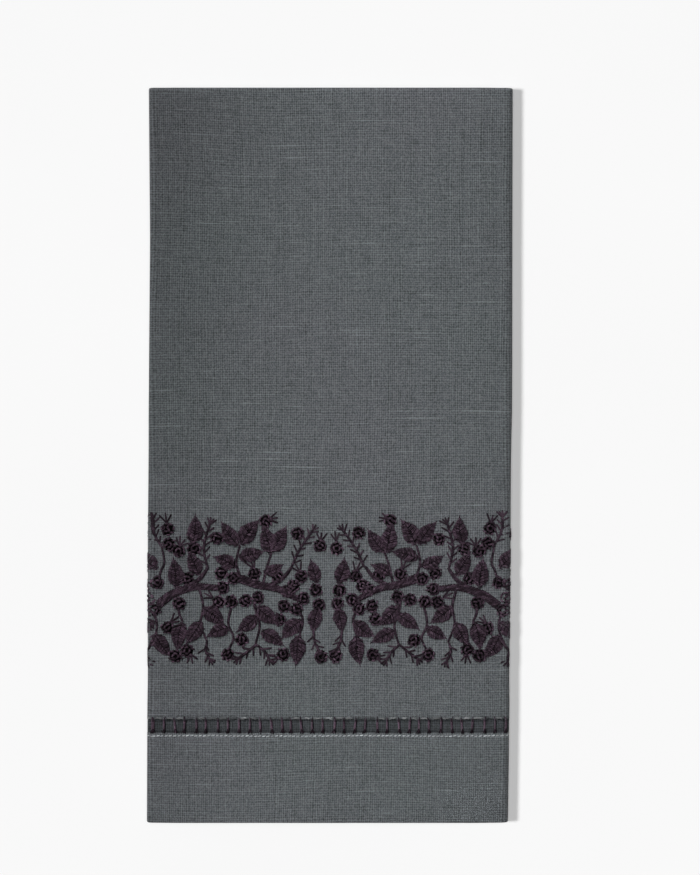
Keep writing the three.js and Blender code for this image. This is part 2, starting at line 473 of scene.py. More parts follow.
def relief_normal(shader, height, depth, strength):
    """Feeds a relief to a shader's normal, depth in millimetres."""
    bump = add(shader.id_data, "ShaderNodeBump", Strength=strength, Distance=depth * MM)
    wire(height, bump.inputs["Height"])
    wire(bump.outputs[0], shader.inputs["Normal"])


# Colours, and painted shade: how much the linen is darkened in its gaps and all over its wrong side, and
# the cool tint of that painted shade
DARK_YARN = (0.0172, 0.0191, 0.0204)
LIGHT_YARN = (0.1670, 0.1805, 0.1922)
GREEN_CAST = (0.975, 1.0, 0.985)
ROSE_CAST = (1.025, 0.995, 1.015)
UNTINTED = (1.0, 1.0, 1.0)
WRONG_SIDE_SHADE_TINT = (0.94, 0.985, 1.01)
WRONG_SIDE_SHADE = 0.59
GAP_SHADE = 0.12
PATCH_TONE = 0.06
DARK_PLUM = (0.002, 0.001, 0.0017)
LIGHT_PLUM = (0.0860, 0.0548, 0.0785)
DARK_PALE = (0.19, 0.2, 0.21)
LIGHT_PALE = (0.54, 0.565, 0.575)
FLOOR_DARK = (0.845, 0.845, 0.845)
FLOOR_LIGHT = (0.855, 0.855, 0.855)


def slate_linen(weave):
    """Yarn-dyed linen: threads of uneven tone, pale slubs, painted shade in the gaps, and painted shade
    with a cool tint all over its wrong side.
    """
    made, tree, shader = new_material(
        "slate linen", Sheen_Weight=0.06, Sheen_Roughness=0.5, Specular_IOR_Level=0.25
    )
    cloth_map = add(tree, "ShaderNodeUVMap", uv_map="cloth").outputs[0]
    per_thread = (1 / (WARP_PITCH * MM), 1 / (WEFT_PITCH * MM), 1)
    threads = add(tree, "ShaderNodeMapping", Scale=per_thread)
    wire(cloth_map, threads.inputs[0])
    woven = use_group(tree, weave, Threads=threads.outputs[0], Wander=1.1)
    patch = noise(cloth_map, scale=70.0, detail=2.0)
    tone = plus(woven["Tone"], centred(patch, PATCH_TONE))
    yarn = ramp(tone, (0.0, DARK_YARN), (1.0, LIGHT_YARN))
    wrong_side = add(tree, "ShaderNodeAttribute", attribute_name="wrong_side").outputs["Fac"]
    # Painted shade: the gaps are darker, and the wrong side is darker and cooler where it shows under the
    # ladder.
    painted_gap_shade = minus(1.0, times(woven["Gap shade"], GAP_SHADE))
    painted_behind_shade = minus(1.0, times(wrong_side, WRONG_SIDE_SHADE))
    shaded = tinted(yarn, times(painted_gap_shade, painted_behind_shade))
    dye = noise(cloth_map, scale=11.0, detail=1.0)
    cast = ramp(dye, (0.35, GREEN_CAST), (0.65, ROSE_CAST))
    painted_shade_tint = ramp(wrong_side, (0.0, UNTINTED), (1.0, WRONG_SIDE_SHADE_TINT))
    colour = tinted(tinted(shaded, cast), painted_shade_tint)
    wire(colour, shader.inputs["Base Color"])
    wire(span(woven["Relief"], 0.0, 1.0, 0.95, 0.78), shader.inputs["Roughness"])
    relief_normal(shader, woven["Relief"], depth=0.16, strength=0.7)
    return made


def embroidery_thread(name, twist, dark, light, shine):
    """Stranded thread: painted shade between its strands and painted light on their backs, and each
    stitch different.
    """
    made, tree, shader = new_material(
        name, Sheen_Weight=0.01, Sheen_Roughness=0.4, Specular_IOR_Level=0.06
    )
    thread_map = add(tree, "ShaderNodeUVMap", uv_map="thread")
    spun = use_group(tree, twist, Map=thread_map.outputs[0])
    fleck = calc("MULTIPLY_ADD", spun["Fleck"], 3.1, -1.18)
    # Painted light and shade: the strands' relief lightens their backs and darkens the grooves between
    # them.
    tone = calc("MULTIPLY_ADD", spun["Relief"], 0.3, fleck)
    colour = ramp(tone, (0.2, dark), (1.0, light))
    # The tone attribute holds each stitch's random tone, with painted shade at its sunk ends and painted
    # light or shade set for each motif.
    own = add(tree, "ShaderNodeAttribute", attribute_name="tone")
    wire(tinted(colour, own.outputs["Fac"]), shader.inputs["Base Color"])
    roughness = span(spun["Fleck"], 0.3, 0.7, shine + 0.08, shine - 0.08)
    wire(roughness, shader.inputs["Roughness"])
    relief_normal(shader, spun["Relief"], depth=0.06, strength=0.6)
    return made


# Meshes


def mesh_piece(name, points, faces, map_name, map_points, attribute, values, material):
    """A smooth mesh object from points, with a map and one attribute given at them."""
    mesh = bpy.data.meshes.new(name)
    mesh.from_pydata((points * MM).tolist(), [], faces)
    corners = np.empty(len(mesh.loops), dtype=np.int32)
    mesh.loops.foreach_get("vertex_index", corners)
    layer = mesh.uv_layers.new(name=map_name)
    layer.uv.foreach_set("vector", map_points[corners].astype(np.float32).ravel())
    given = mesh.attributes.new(attribute, "FLOAT", "POINT")
    given.data.foreach_set("value", values.astype(np.float32))
    mesh.materials.append(material)
    mesh.shade_smooth()
    mesh.update()
    piece = bpy.data.objects.new(name, mesh)
    bpy.context.scene.collection.objects.link(piece)
    return piece


# Threads start anywhere in this length of their twist, and the painted shade at a sunk end lifts at this
# rate along the thread.
TWIST_STARTS = 9
SINK_RATE = 3


class Stitches:
    """Threads laid on the flat cloth and gathered into one mesh, as points (s, t, height)."""

    def __init__(self):
        self.points, self.faces, self.map, self.tone = [], [], [], []
        self.count = 0

    def lay(self, paths, radius, sides=5, flat=1.0, tone=1.0, ends=0.55, vary=0.5):
        """Closed tubes along paths (stitch, point, 3).

        The tone falls to ends where a thread goes into the cloth, as painted shade. Stitches vary from
        light to dark.
        """
        paths = np.asarray(paths, dtype=float)
        stitches, steps = paths.shape[:2]
        run = np.gradient(paths, axis=1)
        run /= np.linalg.norm(run, axis=2, keepdims=True)
        side = np.stack([run[..., 1], -run[..., 0], np.zeros_like(run[..., 0])], axis=-1)
        side /= np.maximum(np.linalg.norm(side, axis=2, keepdims=True), 1e-9)
        lift = np.cross(side, run)
        angle = np.arange(sides) * 2 * math.pi / sides - math.pi / 2
        thick = np.broadcast_to(radius, (stitches, steps))[..., None, None]
        beside = np.cos(angle)[:, None] * side[:, :, None]
        above = flat * np.sin(angle)[:, None] * lift[:, :, None]
        points = paths[:, :, None] + thick * (beside + above)

        length = np.linalg.norm(np.diff(paths, axis=1), axis=2)
        length = np.concatenate([np.zeros((stitches, 1)), np.cumsum(length, axis=1)], axis=1)
        length = length + rng.uniform(0, TWIST_STARTS, (stitches, 1))
        turn = np.broadcast_to(np.arange(sides) / sides, (stitches, steps, sides))
        along = np.broadcast_to(length[..., None], turn.shape)
        self.map.append(np.stack([turn, along], axis=-1).reshape(-1, 2))
        # Painted shade: darker towards each end, down to ends, where the thread sinks into the cloth.
        first, last = np.broadcast_to(ends, 2)
        share = np.linspace(0, 1, steps)
        sunk_shade = np.minimum(first + SINK_RATE * share, last + SINK_RATE * (1 - share))
        sunk_shade = np.minimum(1, sunk_shade)
        own = np.broadcast_to(tone, (stitches,)) * np.exp(rng.uniform(-vary, vary, stitches))
        self.tone.append(np.repeat((own[:, None] * sunk_shade).ravel(), sides))

        number = self.count + np.arange(stitches * steps * sides).reshape(stitches, steps, sides)
        after = np.roll(number, -1, axis=2)
        quads = np.stack([number[:, :-1], number[:, 1:], after[:, 1:], after[:, :-1]], axis=-1)
        self.faces += quads.reshape(-1, 4).tolist()
        self.faces += number[:, 0].tolist()
        self.faces += number[:, -1, ::-1].tolist()
        self.points.append(points.reshape(-1, 3))
        self.count += number.size

    def piece(self, name, material):
        """All the threads as one object, folded with the cloth."""
        points = on_cloth(np.concatenate(self.points))
        thread_map, tone = np.concatenate(self.map), np.concatenate(self.tone)
        return mesh_piece(name, points, self.faces, "thread", thread_map, "tone", tone, material)


# The cloth: its wrong side is mapped beside its right side.
WRONG_SIDE_MAP = TOWEL_WIDTH * 1.1
ROUNDING = 1e-6


def ladder_bars():
    """Middle and lean of every bar of the ladder, spaced as unevenly as by hand."""
    on_front = round((RIGHT_APEX - LEFT_APEX) / LADDER_PITCH)
    pitch = (RIGHT_APEX - LEFT_APEX) / on_front
    first = math.ceil((LEFT_EDGE - LEFT_APEX) / pitch)
    count = math.floor((RIGHT_EDGE - LEFT_APEX) / pitch) - first
    middle = LEFT_APEX + (first + np.arange(count) + 0.5) * pitch
    by_hand = from_apex(middle) > LADDER_PITCH
    middle = middle + rng.uniform(-0.4, 0.4, count) * by_hand
    return middle, rng.uniform(-0.28, 0.28, count) * by_hand


def cloth_columns(bars):
    """Places across the cloth: both edges of each bar, two in each gap, and close steps in the folds."""
    between = (bars[:-1] + bars[1:]) / 2
    values = np.concatenate([
        [LEFT_EDGE, RIGHT_EDGE],
        bars - BAR_WIDTH / 2, bars + BAR_WIDTH / 2, between - 0.6, between + 0.6,
        np.linspace(LEFT_FLAP_START, FRONT_LEFT, 9),
        np.linspace(FRONT_RIGHT, RIGHT_FLAP_START, 11),
    ])
    values = np.unique(values)
    return values[np.concatenate([[True], np.diff(values) > 0.06])]


def cloth_rows():
    """Rows along the cloth: (t, turn of the hem, way that the hem's edge points, length on the map)."""
    turns = np.linspace(0, math.pi, 7)
    front_edge, back_edge = LAYER / 2, TOWEL_LENGTH - LAYER / 2
    front_end, back_end = front_edge - HEM_TURN, back_edge + HEM_TURN
    hem_head, near_back = TOWEL_LENGTH - BACK_HEM, TOWEL_LENGTH - 4.0
    waist = (LADDER_FOOT + LADDER_HEAD) / 2
    rows = [(t, math.pi, 1, front_end - (t - front_edge)) for t in (FRONT_HEM, 20.0, 10.0, 3.0)]
    rows += [(front_edge, angle, 1, front_edge - SEAT * angle) for angle in turns[::-1]]
    main = np.concatenate([
        [3.0, 8.0, 14.0, 20.0, 25.0, 28.5, LADDER_FOOT],
        [waist, LADDER_HEAD, 38.0, 42.0, 47.0],
        np.arange(52.0, 250.0, 6.0),
        np.linspace(FRONT_LENGTH, BACK_START, 9),
        np.arange(BACK_START + 12.0, BACK_START + FRONT_LENGTH - 44.0, 16.0),
        BACK_START + FRONT_LENGTH - np.array([
            LADDER_HEAD + 1.4, LADDER_HEAD + 0.15, LADDER_HEAD - 0.1, waist,
            LADDER_FOOT + 0.1, LADDER_FOOT - 0.15, LADDER_FOOT - 1.4,
        ]),
        [BACK_START + FRONT_LENGTH - 22.0],
        [hem_head, near_back],
    ])
    rows += [(t, 0.0, 1, t) for t in main]
    rows += [(back_edge, angle, -1, back_edge + SEAT * angle) for angle in turns]
    rows += [(t, math.pi, -1, back_end + (back_edge - t)) for t in (near_back, hem_head)]
    return np.array(rows)


def cloth_sheet(material, bars, leans):
    """The folded towel as one closed sheet, with its hems turned in and the ladder's gaps open."""
    columns, rows = cloth_columns(bars), cloth_rows()
    s, t = np.meshgrid(columns, rows[:, 0])
    turn, way, length = (np.broadcast_to(rows[:, i, None], s.shape) for i in (1, 2, 3))
    from_bars = np.abs(columns[:, None] - bars)
    on_bar = from_bars.min(axis=1) < BAR_WIDTH / 2 + ROUNDING
    main = rows[:, 1] == 0
    foot, waist, head = (
        int(np.flatnonzero(main & np.isclose(rows[:, 0], where))[0])
        for where in (LADDER_FOOT, (LADDER_FOOT + LADDER_HEAD) / 2, LADDER_HEAD)
    )
    lean = np.interp(columns, bars, leans)
    s[head] += lean
    s[foot] -= lean
    nearest = bars[from_bars.argmin(axis=1)]
    s[waist] = np.where(on_bar, nearest + (columns - nearest) * BAR_WAIST, columns)
    at_fold = from_apex(columns) < LADDER_PITCH / 2
    bowed = np.where(at_fold, 0.05, rng.uniform(0.02, 0.34, len(columns)))
    bowed = np.where(on_bar, 0, bowed)
    t[head] += bowed
    t[foot] -= bowed * 0.5

    skins = []
    for half in (LINEN / 2, -LINEN / 2):
        reach = seat(s, t) + half
        skins.append(place(s, t - way * reach * np.sin(turn), reach * np.cos(turn)))
    points = np.concatenate([skin.reshape(-1, 3) for skin in skins])

    high, wide = s.shape
    keep = np.ones((high - 1, wide - 1), dtype=bool)
    keep[foot:head] = on_bar[:-1] & on_bar[1:] & (np.diff(columns) < BAR_WIDTH + ROUNDING)
    number = np.arange(high * wide).reshape(high, wide)
    a, b = number[:-1, :-1][keep], number[:-1, 1:][keep]
    c, d = number[1:, 1:][keep], number[1:, :-1][keep]
    inner = high * wide
    faces = np.stack([a, b, c, d], axis=-1).tolist()
    faces += (np.stack([d, c, b, a], axis=-1) + inner).tolist()
    rims = {}
    for first, second in zip((a, b, c, d), (b, c, d, a)):
        for edge in zip(first.tolist(), second.tolist()):
            if rims.pop((edge[1], edge[0]), None) is None:
                rims[edge] = True
    faces += [(q, p, p + inner, q + inner) for p, q in rims]

    flat_map = np.stack([s * MM, length * MM], axis=-1).reshape(-1, 2)
    cloth_map = np.concatenate([flat_map, flat_map + (WRONG_SIDE_MAP * MM, 0)])
    wrong = np.concatenate([np.zeros(inner), np.ones(inner)])
    return mesh_piece("towel_linen", points, faces, "cloth", cloth_map, "wrong_side", wrong, material)


# Thread radii
BINDING_THREAD = 0.16
FAN_THREAD = 0.2
CATCH_THREAD = 0.19
PALE_THREAD = 0.19
LOOSE_THREAD = 0.17
LEAF_THREAD = 0.25
MIDRIB_THREAD = 0.13
BERRY_THREAD = 0.34
BERRY_PAD_THREAD = 0.5
STEM_THREAD = 0.34
TWIG_THREAD = 0.4
SIDE_THREAD = 0.35

# Thread tones, where 1 is the thread's own colour. The bindings are painted lighter, a painted highlight,
# and the fans at the bars' feet are darker, painted shade. The padding, the midrib and the branch core
# are near black, painted shade under and between the stitches.
BINDING_HIGHLIGHT_TONE = 2.1
FAN_SHADE_TONE = 0.3
CATCH_TONE = 0.7
SIDE_TONE = 0.66
LEAF_PAD_SHADE_TONE = 0.04
MIDRIB_SHADE_TONE = 0.08
BERRY_PAD_SHADE_TONE = 0.02
BRANCH_CORE_SHADE_TONE = 0.03
PAD_VARY = 0.1

# The ladder's stitches


def wrapped_bars(bars, leans):
    """Each bar bound with thread, caught into the hem by a small fan and into the cloth by one stitch."""
    threads = Stitches()
    turns, steps = 12, 6
    angle = np.linspace(0, turns * 2 * math.pi, turns * steps + 1)
    share = np.linspace(0, 1, len(angle))
    middle = bars[:, None] + leans[:, None] * (2 * share - 1)
    loose = rng.normal(0, 0.02, (len(bars), len(angle)))
    paths = np.stack([
        middle + (BAR_WIDTH * 0.42 + 0.06 + loose) * np.cos(angle),
        LADDER_FOOT + (LADDER_HEAD - LADDER_FOOT) * np.broadcast_to(share, middle.shape),
        -LINEN / 2 + (LINEN / 2 + 0.1 + loose) * np.sin(angle),
    ], axis=-1)
    # Painted highlight: the binding is lighter than the thread's own colour.
    threads.lay(paths, BINDING_THREAD, sides=4, tone=BINDING_HIGHLIGHT_TONE, ends=0.7, vary=0.35)

    fan, caught = [], []
    for middle, lean in zip(bars, leans):
        for slant in (-0.6, -0.2, 0.2, 0.6):
            end = slant + rng.normal(0, 0.12)
            low = LADDER_FOOT - rng.uniform(0.1, 0.4)
            fan.append([
                (middle - lean * 0.7, LADDER_FOOT + rng.uniform(1.0, 1.4), 0.12),
                (middle - lean * 0.8 + end * 0.3, LADDER_FOOT + 0.75, 0.16),
                (middle - lean + end * 0.8, LADDER_FOOT + 0.3, 0.16),
                (middle - lean + end, low, -0.06),
            ])
        end = rng.normal(0, 0.3)
        high = LADDER_HEAD + rng.uniform(0.5, 1.1)
        caught.append([
            (middle + lean * 0.8, LADDER_HEAD - 0.8, 0.15),
            (middle + lean, LADDER_HEAD, 0.22),
            (middle + lean + end * 0.6, (LADDER_HEAD + high) / 2, 0.18),
            (middle + lean + end, high, -0.1),
        ])
    # Painted shade: the fans at the bars' feet are darker than the thread's own colour.
    threads.lay(fan, FAN_THREAD, tone=FAN_SHADE_TONE)
    threads.lay(caught, CATCH_THREAD, tone=CATCH_TONE)
    return threads


def pale_stitches(bars):
    """Fine hem stitches under the ladder, and the loose pale thread along the head of its gaps."""
    threads = Stitches()
    at = np.arange(LEFT_EDGE + 2, RIGHT_EDGE - 2, PALE_PITCH)
    at = at + rng.normal(0, 0.06, len(at))
    level = PALE_LINE + 0.1 * np.sin(at / 9) + rng.normal(0, 0.04, len(at))
    half = rng.uniform(0.42, 0.56, len(at))
    ends = np.array([-1.0, -0.55, 0.55, 1.0])
    heights = np.array([-0.1, 0.14, 0.14, -0.1])
    paths = np.stack([
        at[:, None] + half[:, None] * ends,
        level[:, None] + 0.11 * ends,
        np.broadcast_to(heights, (len(at), 4)),
    ], axis=-1)
    tones = rng.uniform(0.95, 1.45, len(at))
    threads.lay(paths, PALE_THREAD, tone=tones, ends=0.75, vary=0.15)

    steps = np.linspace(0, 1, 7)
    for first, second in zip(bars[:-1], bars[1:]):
        if rng.uniform() < 0.2:
            continue
        start, end = rng.uniform(0.06, 0.3), rng.uniform(0.7, 0.94)
        share = start + (end - start) * steps
        tone = rng.uniform(0.3, 0.7)
        for level in (0.1, 0.42):
            path = np.stack([
                first + (second - first) * (share + rng.normal(0, 0.02)),
                LADDER_HEAD + level + 0.2 * np.sin(share * math.pi) + rng.normal(0, 0.1, len(steps)),
                0.06 + rng.normal(0, 0.03, len(steps)),
            ], axis=-1)
            threads.lay(path[None], LOOSE_THREAD, sides=4, tone=tone, ends=0.5, vary=0.25)
    return threads


# The border's chart: half of the repeat, x out from the mirror line and y up from the border's edge

WOODY_BRANCHES = [
    # route, width at its start, width at its end
    ([(59.0, 20.2), (53.5, 24.2), (46.0, 26.6), (38.0, 26.2)], 3.2, 2.1),
    ([(49.0, 26.0), (44.5, 29.2), (41.5, 33.4)], 2.1, 1.2),
    ([(31.0, 30.0), (24.5, 27.6), (17.5, 26.2), (10.5, 22.6)], 3.2, 2.0),
    ([(20.5, 26.8), (15.8, 29.6), (12.6, 33.6)], 2.0, 1.2),
]
STEMS = [
    [(44.6, 26.2), (43.2, 20.0), (44.0, 13.6), (41.8, 7.6)],
    [(24.5, 22.6), (25.0, 20.0), (23.2, 13.4), (24.6, 6.8)],
    [(30.4, 30.2), (31.6, 35.4), (30.4, 41.0)],
    [(58.4, 29.6), (57.6, 32.6), (56.4, 35.6), (57.4, 41.0)],
    [(60.0, 17.6), (59.0, 12.6), (60.8, 6.4)],
    [(10.4, 18.8), (8.8, 15.2), (10.0, 10.0)],
    [(51.6, 20.4), (51.4, 17.6), (50.2, 14.6)],
    [(33.4, 20.0), (34.4, 14.0), (32.6, 9.4), (34.2, 5.2)],
    [(22.6, 27.4), (21.4, 33.2), (19.6, 38.6)],
]
TWIGS = [
    [(12.6, 33.6), (9.6, 40.0), (5.2, 46.4)],
    [(41.5, 33.4), (42.8, 40.6), (40.8, 48.8)],
    [(57.4, 41.0), (60.0, 45.6), (60.4, 50.8)],
    [(24.6, 6.8), (27.8, 4.2), (31.0, 1.8)],
    [(24.6, 6.8), (21.6, 4.2), (19.8, 1.2)],
    [(41.8, 7.6), (42.4, 4.4), (41.0, 1.2)],
    [(60.8, 6.4), (62.4, 3.6), (62.0, 0.8)],
    [(4.8, 11.6), (4.4, 8.2), (3.0, 5.0)],
]
LEAVES = [
    # foot x, foot y, direction in degrees, length
    (30.2, 41.2, 122, 10.2), (31.0, 41.0, 56, 10.2), (31.0, 36.6, 162, 8.9), (32.0, 33.8, 28, 8.6),
    (19.8, 38.2, 74, 10.2), (19.2, 38.8, 122, 9.9), (44.6, 30.6, 64, 9.3), (46.9, 41.6, 96, 9.9),
    (59.0, 33.0, 44, 9.5), (52.2, 26.4, 84, 9.9), (43.2, 19.6, 216, 9.5), (43.7, 14.6, 300, 9.5),
    (50.2, 14.6, 280, 9.9), (59.2, 14.6, 318, 9.7), (59.8, 10.4, 238, 9.7), (24.6, 20.4, 224, 9.9),
    (24.4, 17.0, 326, 9.3), (23.4, 11.6, 206, 9.5), (8.9, 15.2, 322, 9.3), (10.0, 10.0, 278, 10.2),
    (34.2, 12.6, 340, 8.2), (3.6, 27.8, 74, 8.6), (3.4, 19.4, 284, 8.8), (21.9, 31.0, 152, 7.6),
]
BERRIES = [
    # middle x, middle y
    (10.4, 45.4), (2.8, 40.6), (25.2, 31.2), (17.4, 30.6), (9.4, 30.4), (21.6, 49.6), (37.0, 31.6),
    (38.2, 43.6), (36.2, 26.2), (33.4, 21.8), (38.2, 21.8), (51.6, 39.2), (54.6, 41.8), (55.6, 47.0),
    (62.8, 27.4), (64.8, 31.8), (61.8, 22.8), (65.2, 17.6), (55.2, 12.6), (51.5, 20.9), (48.6, 4.9),
    (52.6, 3.0), (29.8, 8.6), (34.6, 3.2), (15.2, 20.0), (16.4, 15.4), (8.4, 22.4), (4.2, 25.4),
    (3.2, 20.8), (15.4, 3.2), (2.6, 2.8), (46.6, 39.8), (64.6, 45.0), (28.4, 22.2), (11.9, 27.3),
    (48.7, 29.6), (32.4, 29.6), (24.4, 23.0), (10.7, 19.0), (58.5, 28.4), (14.0, 25.6), (60.2, 18.4),
]
SPRAYS = [
    # foot x, foot y, direction in degrees, number of stitches
    (20.6, 50.0, 165, 3), (51.2, 41.0, 110, 4), (25.6, 33.0, 66, 3), (47.8, 3.2, 255, 3),
    (16.8, 2.2, 340, 3), (2.8, 42.4, 95, 3), (9.4, 32.0, 70, 3), (54.6, 14.2, 140, 3),
    (39.8, 23.0, 30, 3), (55.8, 48.8, 80, 3),
]


def repeats(points):
    """The copies of a motif across the towel, each a little off: its route, and how it is turned."""
    points = np.array(points, dtype=float)
    copies = [points]
    if points[:, 0].min() > CHART_TURN - CHART_PAST_FOLD:
        copies.append(np.stack([2 * CHART_TURN - points[:, 0], points[:, 1]], axis=1))
    for number, copy in enumerate(copies):
        for side in (1, -1):
            moved = copy * (side, 1) + rng.normal(0, 0.18, 2)
            yield moved + (0, BORDER_FOOT), side * (1 if number == 0 else -1)


def turned(direction, flip):
    """A charted direction in radians on a copy, with a little of the hand in it."""
    direction = math.radians(direction) if flip > 0 else math.pi - math.radians(direction)
    return direction + rng.normal(0, math.radians(3))


ROUTE_STEP = 0.25
CURVE_STEPS = 24


def route(points):
    """A smooth curve through the points at even steps, as (places, directions, distances)."""
    padded = np.concatenate([2 * points[:1] - points[1:2], points, 2 * points[-1:] - points[-2:-1]])
    share = np.linspace(0, 1, CURVE_STEPS, endpoint=False)[:, None]
    curve = []
    for a, b, c, d in zip(padded, padded[1:], padded[2:], padded[3:]):
        bend, twist = 2 * a - 5 * b + 4 * c - d, 3 * b - a - 3 * c + d
        curve.append(0.5 * (2 * b + (c - a) * share + bend * share**2 + twist * share**3))
    curve = np.concatenate([*curve, points[-1:]])
    distance = np.concatenate([[0], np.cumsum(np.linalg.norm(np.diff(curve, axis=0), axis=1))])
    even = np.arange(0, distance[-1], ROUTE_STEP)
    places = np.stack([np.interp(even, distance, curve[:, i]) for i in (0, 1)], axis=1)
    ways = np.gradient(places, axis=0)
    return places, ways / np.linalg.norm(ways, axis=1, keepdims=True), even


# Leaves: stitch pitch, how far stitches slant to the tip, and the power that sets the belly near the foot
LEAF_PITCH = 0.64
LEAF_SLANT = 0.2
LEAF_BELLY = 0.74
GROOVE = 0.08

# The two stitches on each side of a leaf: (share of the stitch, least height, rise with the width)
LEAF_INSIDE = [(0.0, 0.2, 0.26), (0.14, 0.26, 0.34), (0.7, 0.3, 0.5), (1.04, 0.24, 0.44)]
LEAF_OUTSIDE = [(-0.04, 0.26, 0.46), (0.4, 0.28, 0.5), (0.86, 0.18, 0.42), (1.0, -0.1, 0.0)]

# The padding of half a leaf from foot to tip, near black as painted shade: heights, and shares of the
# half width
PAD_HEIGHTS = np.array([-0.1, 0.22, 0.36, 0.36, 0.2, -0.1])
PAD_WIDTHS = np.array([0.2, 0.5, 0.58, 0.5, 0.3, 0.1])
PAD_DRAWN_IN = np.array([0.32, 0.05, 0, 0.02, 0.14, 0.36])
PAD_MIDDLE = 0.42


def leaf(threads, foot, direction, length):
    """A padded leaf: two short slanting stitches deep on each side of a midrib in a groove; padding and
    midrib are near black, painted shade.
    """
    count = round(length / LEAF_PITCH)
    bend = rng.uniform(-0.07, 0.07) * length
    half_width = length * rng.uniform(0.255, 0.295)
    ahead = np.array([math.cos(direction), math.sin(direction)])
    aside = np.array([-ahead[1], ahead[0]])

    def midrib(q):
        """Places on the midrib, by share of the leaf's length."""
        return foot + q[:, None] * length * ahead + (bend * np.sin(q * math.pi))[:, None] * aside

    for side in (1, -1):
        inner = np.linspace(0.02, 0.93, count) + rng.normal(0, 0.008, count)
        slant = LEAF_SLANT * (1 - inner) * np.minimum(1, inner / 0.14)
        outer = np.clip(inner + slant, 0.01, 0.98)
        width = half_width * np.sin(math.pi * outer**LEAF_BELLY) ** 0.9 + rng.normal(0, 0.09, count)
        start = midrib(inner) + aside * side * GROOVE
        end = midrib(outer) + aside * side * np.maximum(width, 0.1)[:, None]
        full = np.clip(width / half_width, 0.35, 1)
        lift = rng.uniform(-0.08, 0.08, count)
        split = rng.uniform(0.42, 0.62, count)
        for first, reach, profile, ends in (
            (0.0, split, LEAF_INSIDE, (0.3, 0.6)),
            (split, 1 - split, LEAF_OUTSIDE, (0.5, 0.3)),
        ):
            rows = []
            for share, low, rise in profile:
                spot = start + (end - start) * (first + reach * share)[:, None]
                rows.append(np.column_stack([spot, low + rise * full + lift]))
            tone = rng.uniform(0.9, 1.15)
            threads.lay(np.stack(rows, axis=1), LEAF_THREAD, flat=0.9, tone=tone, ends=ends, vary=0.65)
        # Painted shade: near-black padding that shows between the stitches.
        middle = midrib(np.linspace(0.06, 0.92, 6)) + aside * side * half_width * PAD_MIDDLE
        drawn_in = (PAD_DRAWN_IN * half_width)[:, None] * aside * side
        shade_padding = np.column_stack([middle - drawn_in, PAD_HEIGHTS])[None]
        threads.lay(shade_padding, half_width * PAD_WIDTHS, flat=0.3, tone=LEAF_PAD_SHADE_TONE, vary=PAD_VARY)
    # Painted shade: a near-black midrib thread in the groove.
    along = np.linspace(0.03, 0.86, 8)
    crown = 0.42 + 0.34 * np.sin(math.pi * along**LEAF_BELLY)
    midrib_shade = np.column_stack([midrib(along), crown])[None]
    threads.lay(midrib_shade, MIDRIB_THREAD, sides=4, tone=MIDRIB_SHADE_TONE, ends=1.0, vary=PAD_VARY)
    tip = np.column_stack([midrib(np.array([0.72, 0.86, 0.98, 1.08])), [0.16, 0.3, 0.2, -0.1]])
    threads.lay(tip[None], np.array([0.36, 0.34, 0.26, 0.12]), flat=0.9)


# Berries: the rings of knots, as (number, distance out, foot, rise), and the radius of the padding, which
# is near black as painted shade
BERRY_RINGS = [(8, 1.88, -0.05, 0.6), (4, 0.8, 0.4, 0.65)]
BERRY_PAD = 2.0


def berry(threads, middle):
    """Short thick knots lying every way, a ring of them about a raised few, painted lighter with
    near-black sunk ends, on padding that is near black as painted shade.
    """
    share = np.linspace(-1, 1, 5)
    swell = np.array([0.0, 0.85, 1.0, 0.85, 0.0])
    paths = []
    for around, out, foot, rise in BERRY_RINGS:
        start = rng.uniform(0, 2 * math.pi)
        for k in range(around):
            angle = start + k * 2 * math.pi / around + rng.normal(0, 0.1)
            way = angle + math.pi / 2 + rng.normal(0, 0.5)
            far = out + rng.normal(0, 0.1)
            reach = rng.uniform(0.5, 0.66) * share
            bow = 0.16 * (1 - share**2)
            paths.append(np.column_stack([
                middle[0] + (far + bow) * math.cos(angle) + reach * math.cos(way),
                middle[1] + (far + bow) * math.sin(angle) + reach * math.sin(way),
                foot + rise * swell + rng.uniform(-0.08, 0.14),
            ]))
    # Painted highlight on the knots, lighter than the thread's own colour, and painted shade at their
    # sunk ends.
    threads.lay(paths, BERRY_THREAD, sides=6, tone=rng.uniform(1.1, 1.45), ends=0.05, vary=0.6)
    # Painted shade: near-black padding that shows between the knots.
    level = np.array([-1.6, -0.8, 0.0, 0.8, 1.6])
    reach = np.sqrt(BERRY_PAD**2 - level**2)[:, None] * np.array([-1, -0.4, 0.4, 1])
    shade_padding = np.stack([
        middle[0] + reach,
        middle[1] + np.broadcast_to(level[:, None], reach.shape),
        np.broadcast_to([-0.1, 0.1, 0.1, -0.1], reach.shape),
    ], axis=-1)
    threads.lay(shade_padding, BERRY_PAD_THREAD, flat=0.6, tone=BERRY_PAD_SHADE_TONE, vary=PAD_VARY)


# Stem stitch: length of a stitch, and the step to the next
STEM_LENGTH = 1.8
STEM_STEP = 0.95


